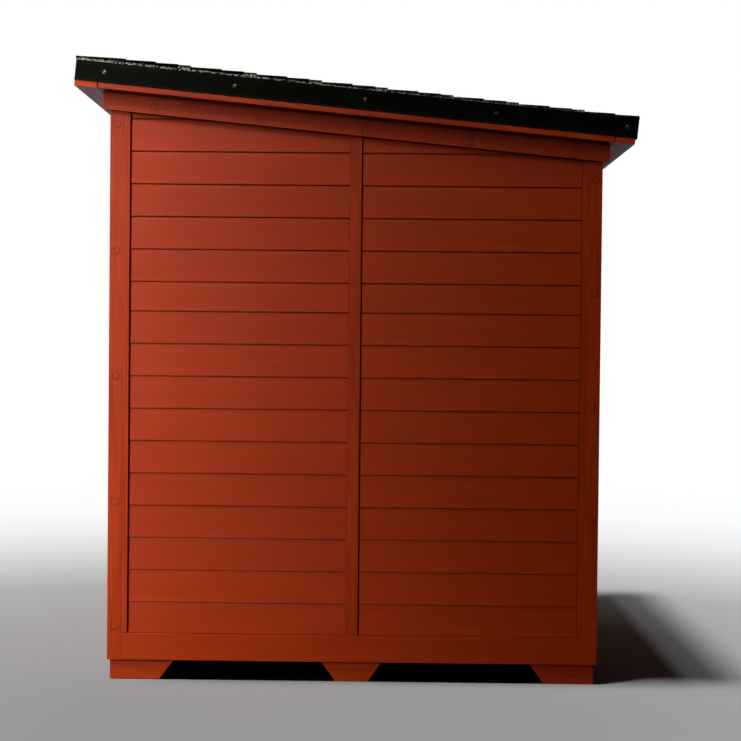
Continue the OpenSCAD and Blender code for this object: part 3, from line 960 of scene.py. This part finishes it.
def hinges():
    # plates on frame and leaf, and a barrel whose radius dips between its knuckles
    lo, hi = boxOf("door_hinges")
    sill = boxOf("door_threshold")[1][2]
    span = boxOf("door_frame")[1][2] - door["frameFace"] - sill
    x, face = (lo[0] + hi[0]) / 2, hi[1]
    tall, proud, r = hinge["height"], hinge["proud"], hinge["barrel"] / 2
    width = hinge["plateW"] / 2 - proud
    # (height, radius) up the barrel
    notch = np.array([[-0.9 * mm, r], [-0.45 * mm, r - 0.8 * mm], [0.45 * mm, r - 0.8 * mm], [0.9 * mm, r]])
    profile = np.vstack([[[0, r - 1.5 * mm], [1.2 * mm, r]]]
                        + [notch + [mark, 0] for mark in np.linspace(0, tall, hinge["knuckles"] + 1)[1:-1]]
                        + [[[tall - 1.2 * mm, r], [tall, r - 1.5 * mm]]])
    shells = []
    for share in hinge["places"]:
        z = sill + share * span - tall / 2
        for way, start in ((-1, x - width - proud), (1, x + proud)):
            place = lambda along, across, out: together(start + across, face - out, along)
            shells.append(board(place, z, z + tall, width, hinge["plateT"] - proud, 0.7 * mm, 2))
            for rise, aside in hinge["screws"]:
                centre = start + width / 2 + way * aside * width
                turn = lambda a, b, h: together(centre + a, face - hinge["plateT"] + proud - h,
                                                z + rise * tall + b)
                shells.append(turned(turn, [4 * mm, 4 * mm, 3.2 * mm, 1.2 * mm],
                                     [-0.3 * mm, 0.1 * mm, 0.5 * mm, 0.55 * mm], 18, 1.0))
        turn = lambda a, b, h: together(x + a, face + b, z + h)
        shells.append(turned(turn, profile[:, 1], profile[:, 0], 28, 0.3))
    makePiece("doorHinges", shells, blackCoat, ["door_hinges"])


doorLeaf()
doorFrame()
threshold()
pullBar()
hinges()
print("stage: door hung")


# roof boards and metal

# the boards' ends stand a little behind the metal's face, and the eave boards are a little
# narrower than the room for them
boardEnd = roof["halfWidth"] - roof["dripT"] - roof["behind"]
frontBoard = frontJoint - 7 * mm
backBoard = backJoint + 5.5 * mm


def eaveBoard(side, fromL, toL):
    # flat board under the roof's edge, its soffit face outwards
    place = lambda along, across, out: onRoof(along, fromL + across, roof["boardT"] - out)
    shell = board(place, -boardEnd, boardEnd, toL - fromL, roof["boardT"], 0.6 * mm, 4)
    makePiece(side + "EaveBoard", [shell], redPaint, [side + "_eave_board"])


def rakeBoard(side, sign):
    inner = halfW + trim["friezeT"]
    place = lambda along, across, out: onRoof(sign * (inner + across), along, roof["boardT"] - out)
    # painted shade darkens the soffit face and the inner side beside the frieze
    shell = board(place, frontBoard + roof["joint"], backBoard - roof["joint"], boardEnd - inner,
                  roof["boardT"], 0.6 * mm, 4, shear=0.12, paintedShade=(-4, 0, -5.8), tips=-3)
    makePiece(side + "RakeBoard", [shell], streakedPaint, [side + "_rake_board"])


eaveBoard("front", roof["dripT"], frontBoard)
eaveBoard("back", backBoard, roof["length"] - roof["dripT"] - 5 * mm)
rakeBoard("right", 1)
rakeBoard("left", -1)

drip = {
    "setback": 2.2 * mm,      # of the metal's face behind the roof's edge: the screws' heads
    "sheet": 0.75 * mm,
    "bend": 2.0 * mm,
    "hem": 5.5 * mm,
    "hemProud": 0.6 * mm,
    "flange": 60 * mm,
    "screwPitch": 451.5 * mm,
    "firstScrew": 103.1 * mm,
    "firstAcross": 104 * mm,
    "lastScrew": 20 * mm,     # none is nearer to the back edge
    "screwRise": 35 * mm,
}


def dripSection():
    # (inwards from the roof's edge, height): hemmed foot, face, bend, flange, and back inside
    face, sheet, proud = drip["setback"], drip["sheet"], drip["hemProud"]
    foot, top = roof["boardT"], roof["deck"]
    hemTop = foot + drip["hem"]
    hem = np.array([[face + sheet, foot + 0.2 * mm], [face, foot + 0.02 * mm],
                    [face - proud * 0.7, foot + 0.3 * mm], [face - proud, foot + 1.2 * mm],
                    [face - proud, hemTop - 1.2 * mm], [face - proud * 0.6, hemTop - 0.4 * mm],
                    [face, hemTop]])
    bend = quarter(face + drip["bend"], top - drip["bend"], drip["bend"], 180, 90, 4)
    inside = quarter(face + drip["bend"], top - drip["bend"], drip["bend"] - sheet, 90, 180, 4)
    middle = np.array([[face, foot + 0.03], [face, foot + 0.05]])
    flange = np.array([[drip["flange"], top], [drip["flange"], top - sheet]])
    edge = np.r_[0.3, 1, 1, 0.6, 0.6, 1, 0.2, 0, 0, 0.4, 1, 1, 1, 0.4, 0, 0, np.zeros(5), 0.3]
    return np.vstack([hem, middle, bend, flange, inside, hem[:1]]), edge


def dripEdge(side, place, start, end, screws):
    # place(along the edge, inwards from it, out) gives the points
    outline, edge = dripSection()
    along = np.linspace(start, end, 12)[:, None]
    points = place(along, *outline.T)
    sheet = closed(points, together(along, runLength(outline)), edge, 0.5)
    makePiece(side + "DripEdge", [sheet], blackCoat, [side + "_drip_edge"])
    # dome heads: radius and height over the metal in turn, from the rim to the crown
    radii = np.array([7.6, 8, 8, 7.6, 6.4, 4.6, 2.6, 0.9]) * mm
    heights = np.array([-0.3, -0.1, 0.45, 1.0, 1.55, 1.9, 2.1, 2.18]) * mm
    rise = roof["boardT"] + drip["screwRise"]
    heads = [turned(lambda a, b, h: place(at + a, drip["setback"] - h, rise + b), radii, heights, 28)
             for at in screws]
    makePiece(side + "DripScrews", heads, screwHead)


def dripEdges():
    halfL, length, face = roof["halfWidth"], roof["length"], drip["setback"]
    down = drip["firstScrew"] + drip["screwPitch"] * np.arange(5)
    down = down[down < length - drip["lastScrew"]]
    for side, sign in (("right", 1), ("left", -1)):
        dripEdge(side, lambda s, a, b: onRoof(sign * (halfL - a), s, b), face + 1 * mm,
                 length - face - 1 * mm, down)
    cross = (halfL - drip["firstAcross"]) * np.linspace(-1, 1, 5)
    dripEdge("front", onRoof, face - halfL, halfL - face, cross)
    dripEdge("back", lambda s, a, b: onRoof(s, length - a, b), face - halfL, halfL - face, cross)


dripEdges()
print("stage: roof boards and metal fixed")


# shingles

shingle = {
    "tilt": math.tan(math.radians(2.4)),
    "first": 171 * mm,
    "firstT": 12.5 * mm,
    "plain": 105 * mm,        # a course whose teeth end in line
    "short": 79 * mm,         # a course whose teeth at the rakes end short of its base sheet
    "full": 121.8 * mm,
    "frontT": 16 * mm,        # thickness where the second course starts
    "backT": 3 * mm,          # and to what it thins out at the back eave
    "lift": 1.4 * mm,         # more with each lap of a pair of courses
    "least": 15 * mm,         # a shorter rest joins the course before it
    "bed": (8.5 * mm, 1.0 * mm),  # thickness of the sheets under the courses, front and back
    "sheets": 2,
    "last": 2.5 * mm,         # the last course stops this far from the back edge
    "tooth": 2.6 * mm,
    "toothW": (95 * mm, 210 * mm),
    "slotW": (35 * mm, 105 * mm),
    "lastTooth": 200 * mm,    # a shorter rest of the row joins its last tooth
    "shortTeeth": 0.3,        # share of the teeth that end short like those at the rakes
    "tones": (-0.04, 0.02, 0.08, 0.13),
    "pace": 40 * mm,          # from one section of a sheet to the next
}


def bedTop(down, share=1.0):
    front, back = shingle["bed"]
    return roof["deck"] + share * (front + (back - front) * down / roof["length"])


def courseFace(start, lapped):
    # face of a course: starts at its own thickness over the deck and rises down the slope
    thins = (shingle["frontT"] - shingle["backT"]) / (roof["length"] - shingle["first"])
    thick = shingle["frontT"] + lapped * shingle["lift"] - thins * (start - shingle["first"])
    if start == 0:
        thick = shingle["firstT"]
    return lambda down: roof["deck"] + thick + (down - start) * shingle["tilt"]


def shingleSlab(x0, x1, start, end, bed, face, ragged, tone):
    # a sheet across x and down the slope with its top at face(down) and its foot at bed(down);
    # the ends and the butt are eased and the butt line wanders by chance
    rim = 0.9 * mm
    x = np.linspace(x0, x1, max(2, int((x1 - x0) / shingle["pace"]) + 2))
    x = np.r_[x0, x0, x0 + rim, x[1:-1], x1 - rim, x1, x1]
    sunk = np.r_[1, 0.4, 0, np.zeros(len(x) - 6), 0, 0.4, 1]
    wander = ragged * np.interp(x, np.linspace(x0, x1, 9), dice.uniform(-1, 0.3, 9))
    butt = np.minimum(end + wander, roof["length"] - 0.3 * mm)
    downs = np.vstack([start + np.array([0, 0.5])[:, None] * (butt - start), butt - 2.5 * mm,
                       butt - 0.9 * mm, butt, butt])
    fall = np.maximum(np.array([0, 0, 0, 0, 0.4, 1])[:, None], sunk)
    top = face(downs)
    out = np.where(fall == 1, bed(downs), top - 0.7 * mm * (fall > 0))
    points = onRoof(x + np.zeros_like(downs), downs, out)
    loop = np.concatenate([points[0], points[1:, -1], points[-1, ::-1][1:], points[::-1, 0][1:-1]])
    dark = 0.55 * np.clip((top - bed(downs)) / (7.5 * mm), 0, 1)
    edgeWeight = np.where(fall == 1, 1, (1 - dark) * (fall > 0))
    return weld([gridPatch(points, together(x, downs), edgeWeight), capPatch(loop, loop[:, :2], 1.0)], 0, tone)


def courseShells(start, end, rakeEnd, lapped=0, drop=shingle["tooth"]):
    # a base sheet in two lengths, and teeth of chance width over it with slots between them
    halfL = roof["halfWidth"]
    face = courseFace(start, lapped)
    sheet = lambda down: face(down) - drop
    bed = lambda down: bedTop(down) - 0.3 * mm
    joint = dice.uniform(-0.5, 0.5)
    shells = []
    for x0, x1 in ((-halfL, joint - 0.4 * mm), (joint + 0.4 * mm, halfL)):
        shells.append(shingleSlab(x0, x1, start - 2 * mm if start else 0, end, bed, sheet, 1.2 * mm,
                                  dice.uniform(-0.12, -0.04)))
    x = -halfL
    while x < halfL - 1 * mm:
        atRake = x == -halfL
        width = dice.uniform(*shingle["toothW"])
        if halfL - (x + width) < shingle["lastTooth"]:
            width = halfL - x
            atRake = True
        stop = rakeEnd if atRake or dice.random() < shingle["shortTeeth"] else end
        shells.append(shingleSlab(x, x + width, start - 1 * mm if start else 0, stop, bed, face, 1.4 * mm,
                                  dice.choice(shingle["tones"]) + dice.uniform(-0.02, 0.02)))
        x += width + dice.uniform(*shingle["slotW"])
    return shells


def shingles():
    halfL, length = roof["halfWidth"], roof["length"]
    shells = []
    count = shingle["sheets"]
    for k in range(count):
        cut = 0.5 * mm * (k % 2)
        shells.append(shingleSlab(cut - halfL, halfL - cut, cut, length - cut,
                                  lambda down: bedTop(down, k / count),
                                  lambda down: bedTop(down, (k + 1) / count) - 0.1 * mm, 0.0, -0.05))
    start = shingle["first"]
    last = length - shingle["last"]
    shells += courseShells(0, start, start)
    while start < length - shingle["least"]:
        end = min(start + shingle["plain"], last)
        shells += courseShells(start, end, end)
        start = end
        if start > length - shingle["least"]:
            break
        end = min(start + shingle["full"], last)
        rakeEnd = start + shingle["short"]
        if rakeEnd > length - shingle["least"]:
            rakeEnd = last
        drop = courseFace(start, 1)(rakeEnd) - courseFace(start + shingle["short"], 2)(rakeEnd)
        shells += courseShells(start, end, rakeEnd, 1, drop)
        start = end
    makePiece("roofShingles", shells, granules, ["roof_shingles"])


shingles()
print("stage: shingles laid")

# carried-over frame pieces
uprights = ("right_wall_frame", "left_wall_frame", "back_wall_frame", "front_wall_left",
            "front_wall_right", "front_wall_over_door")
for nodes, finish in ((uprights, uprightTimber), (("floor_panel", "roof_panel"), flatTimber)):
    for node in nodes:
        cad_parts[node].data.materials.clear()
        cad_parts[node].data.materials.append(finish)

# floor, light and camera
ground = {
    "reach": 60.0,
    "below": 0.4 * mm,        # under the feet
    "centre": (1.5, -0.1),
    # distance from the centre, the pale grey there and the share of it that lamps don't change
    "rings": ((0.8, 0.245, 0.0), (2.0, 0.292, 0.02), (2.9, 0.350, 0.13), (3.8, 0.556, 0.40),
              (5.0, 0.830, 0.80), (6.1, 0.950, 0.95), (8.1, 1.0, 1.0)),
    "bounce": 0.03,           # how much of its colour the floor throws back on dull surfaces
    "mirrored": (0.54, 0.21), # and what glossy surfaces see of it beyond -Y and beyond +Y
    "under": (0.84, 0.90),    # half the width over which the shown share starts under the cabin
}


def groundFinish():
    # pale grey that turns white outwards with the distance from a point near the cabin; a share
    # of it is shown to camera and glossy rays as it is, and the rest is lit and takes the shadow
    material, tree = newFinish("paleFloor")
    shader = tree.nodes["Principled BSDF"]
    shader.inputs["Roughness"].default_value = 1.0
    shader.inputs["Specular IOR Level"].default_value = 0.0
    place = ownPlace(tree)
    x, y = ground["centre"]
    shift = addNode(tree, "Mapping", Vector=place, Location=(-x, -y, 0))
    size = addNode(tree, "VectorMath", operation="LENGTH", Vector=shift.outputs["Vector"])
    rings = ground["rings"]
    rim = rings[-1][0]
    share = combine(tree, "DIVIDE", size.outputs["Value"], rim)
    shade, kept = [colourRamp(tree, share, [(ring[0] / rim, (ring[i],) * 3) for ring in rings])
                   for i in (1, 2)]
    seen = addNode(tree, "LightPath").outputs
    parts = addNode(tree, "SeparateXYZ", Vector=place).outputs
    mirrored = times(tree, seen["Is Glossy Ray"], ramp(tree, parts["X"], 1.0, -1.0, 0, 1),
                     ramp(tree, parts["Y"], -1.2, 1.2, *ground["mirrored"]))
    direct = combine(tree, "MAXIMUM", seen["Is Camera Ray"], mirrored, seen["Is Transmission Ray"])
    lit = tinted(tree, shade, ramp(tree, direct, 0, 1, ground["bounce"], 1))
    put(tree, shader.inputs["Base Color"], lit)
    across = [combine(tree, "ABSOLUTE", parts[axis], 0) for axis in "XY"]
    beside = ramp(tree, combine(tree, "MAXIMUM", *across), *ground["under"], 0, 1)
    mix = addNode(tree, "MixShader", Fac=times(tree, direct, kept, beside))
    put(tree, mix.inputs[1], shader.outputs["BSDF"])
    put(tree, mix.inputs[2], addNode(tree, "Emission", Color=shade).outputs["Emission"])
    put(tree, tree.nodes["Material Output"].inputs["Surface"], mix.outputs["Shader"])
    return material


corners = np.array([[-1, -1, 0], [1, -1, 0], [1, 1, 0], [-1, 1, 0]]) * ground["reach"]
floorMesh = bpy.data.meshes.new("studioFloor")
floorMesh.from_pydata(corners - [0, 0, ground["below"]], [], [[0, 1, 2, 3]])
floorMesh.materials.append(groundFinish())
studioFloor = bpy.data.objects.new("studioFloor", floorMesh)
bpy.context.scene.collection.objects.link(studioFloor)

studio = {
    "ambient": 0.012,
    "reflected": (0.01, 0.40),    # what glossy surfaces see towards +X and towards -X
}


def studioWorld():
    # white behind the object for the camera, dim ambient light, and for gloss a backdrop that
    # brightens towards -X
    world = bpy.data.worlds.new("studio")
    bpy.context.scene.world = world
    world.use_nodes = True
    tree = world.node_tree
    background = tree.nodes["Background"]
    seen = addNode(tree, "LightPath").outputs
    parts = addNode(tree, "SeparateXYZ", Vector=addNode(tree, "TexCoord").outputs["Generated"]).outputs
    glossy = times(tree, ramp(tree, parts["X"], 0.0, -0.5, *studio["reflected"]), seen["Is Glossy Ray"])
    dim = times(tree, combine(tree, "SUBTRACT", 1.0, seen["Is Glossy Ray"]), studio["ambient"])
    level = combine(tree, "MAXIMUM", plus(tree, glossy, dim), seen["Is Camera Ray"],
                    seen["Is Transmission Ray"])
    put(tree, background.inputs["Strength"], level)
    background.inputs["Color"].default_value = (1, 1, 1, 1)


def stand(name, data, axes, place):
    # an object in the scene with its own axes turned to these, at that place
    thing = bpy.data.objects.new(name, data)
    whole = np.eye(4)
    whole[:3] = np.column_stack([*axes, place])
    thing.matrix_world = Matrix(whole.tolist())
    bpy.context.scene.collection.objects.link(thing)
    return thing


def lightGroup(name, state):
    # a group for lamps that light only the floor (INCLUDE) or all but the floor (EXCLUDE)
    group = bpy.data.collections.new(name)
    group.objects.link(studioFloor)
    group.collection_objects[0].light_linking.link_state = state
    return group


floorOnly = lightGroup("floorOnly", "INCLUDE")
allButFloor = lightGroup("allButFloor", "EXCLUDE")


def lamp(name, kind, place, target, power, lit=allButFloor, **values):
    # back points from the target to the lamp; its side is level and square to that
    light = bpy.data.lights.new(name, kind)
    light.energy = power
    for key, value in values.items():
        setattr(light, key, value)
    back = np.subtract(place, target) / np.linalg.norm(np.subtract(place, target))
    side = np.cross([0, 0, 1.0], back)
    side /= np.linalg.norm(side)
    thing = stand(name, light, (side, np.cross(back, side), back), place)
    thing.visible_camera = False
    thing.light_linking.receiver_collection = lit
    return thing


studioWorld()
spots = {"spot_blend": 1.0, "shadow_soft_size": 0.9}
keyCentre = np.array([0.86, -0.5, 1.1])
keyAway = 5
keys = (   # the way to the lamp from the wall's middle, where it points, and its power
    ("keyLower", (1, -0.8, 0.3), (0.86, -2.27, 0.3), 1080),
    ("keyUpper", (1, -0.8, 0.3), (0.86, -2.27, 2.2), 340),
    ("keyHigh", (1, -0.3, 0.9), (0.86, -2.27, 2.2), 720),
)
for name, way, target, power in keys:
    place = keyCentre + keyAway * np.array(way) / np.linalg.norm(way)
    lamp(name, "SPOT", place, target, power, spot_size=math.radians(60), **spots)
lamp("keyMiddle", "SPOT", (4.66, -3.54, 2.24), (0.86, 0.2, 1.75), 70, spot_size=math.radians(16), **spots)
# the roof keeps this one off the walls
lamp("overhead", "SUN", (0.37, -1.68, 10), (0, 0, 0), 3.14, angle=math.radians(3.6))
# these two light the floor: the cabin keeps both off a dark core and the stronger one off a
# paler band beyond it
lamp("floorSteep", "SUN", (0.25, -1.15, 10), (0, 0, 0), 0.55, floorOnly, angle=math.radians(2.5))
lamp("floorSlanted", "SUN", (0.75, -2.15, 10), (0, 0, 0), 3.5, floorOnly, angle=math.radians(6.5))
fills = (("fillAhead", (6.5, 0.0, 3.2), 46), ("fillHigh", (5.0, 0.0, 5.5), 50),
         ("fillBehind", (-5.2, 4.2, 3.1), 125))
for name, place, power in fills:
    target = (math.copysign(0.86, place[0]), 0.0, 1.1)
    lamp(name, "AREA", place, target, power, size=3.0).visible_glossy = False


def addCamera():
    # placed level with the cabin's middle on its right side, turned a little and rolled a little
    place, lens = (6.1315, 0.1058, 1.198), 72.87
    yaw, pitch, roll = -0.00912, -0.01878, 0.01012      # radians
    ahead = np.array([-math.cos(yaw) * math.cos(pitch), math.sin(yaw) * math.cos(pitch), math.sin(pitch)])
    level = np.array([math.sin(yaw), math.cos(yaw), 0])
    over = np.cross(level, ahead)
    right = math.cos(roll) * level + math.sin(roll) * over
    data = bpy.data.cameras.new("camera")
    data.lens = lens
    data.sensor_width = 36
    data.clip_end = 200
    bpy.context.scene.camera = stand("camera", data, (right, np.cross(right, ahead), -ahead), place)


addCamera()
bpy.context.scene.view_settings.view_transform = "Standard"
bpy.context.view_layer.update()
print("stage: floor, light and camera set")
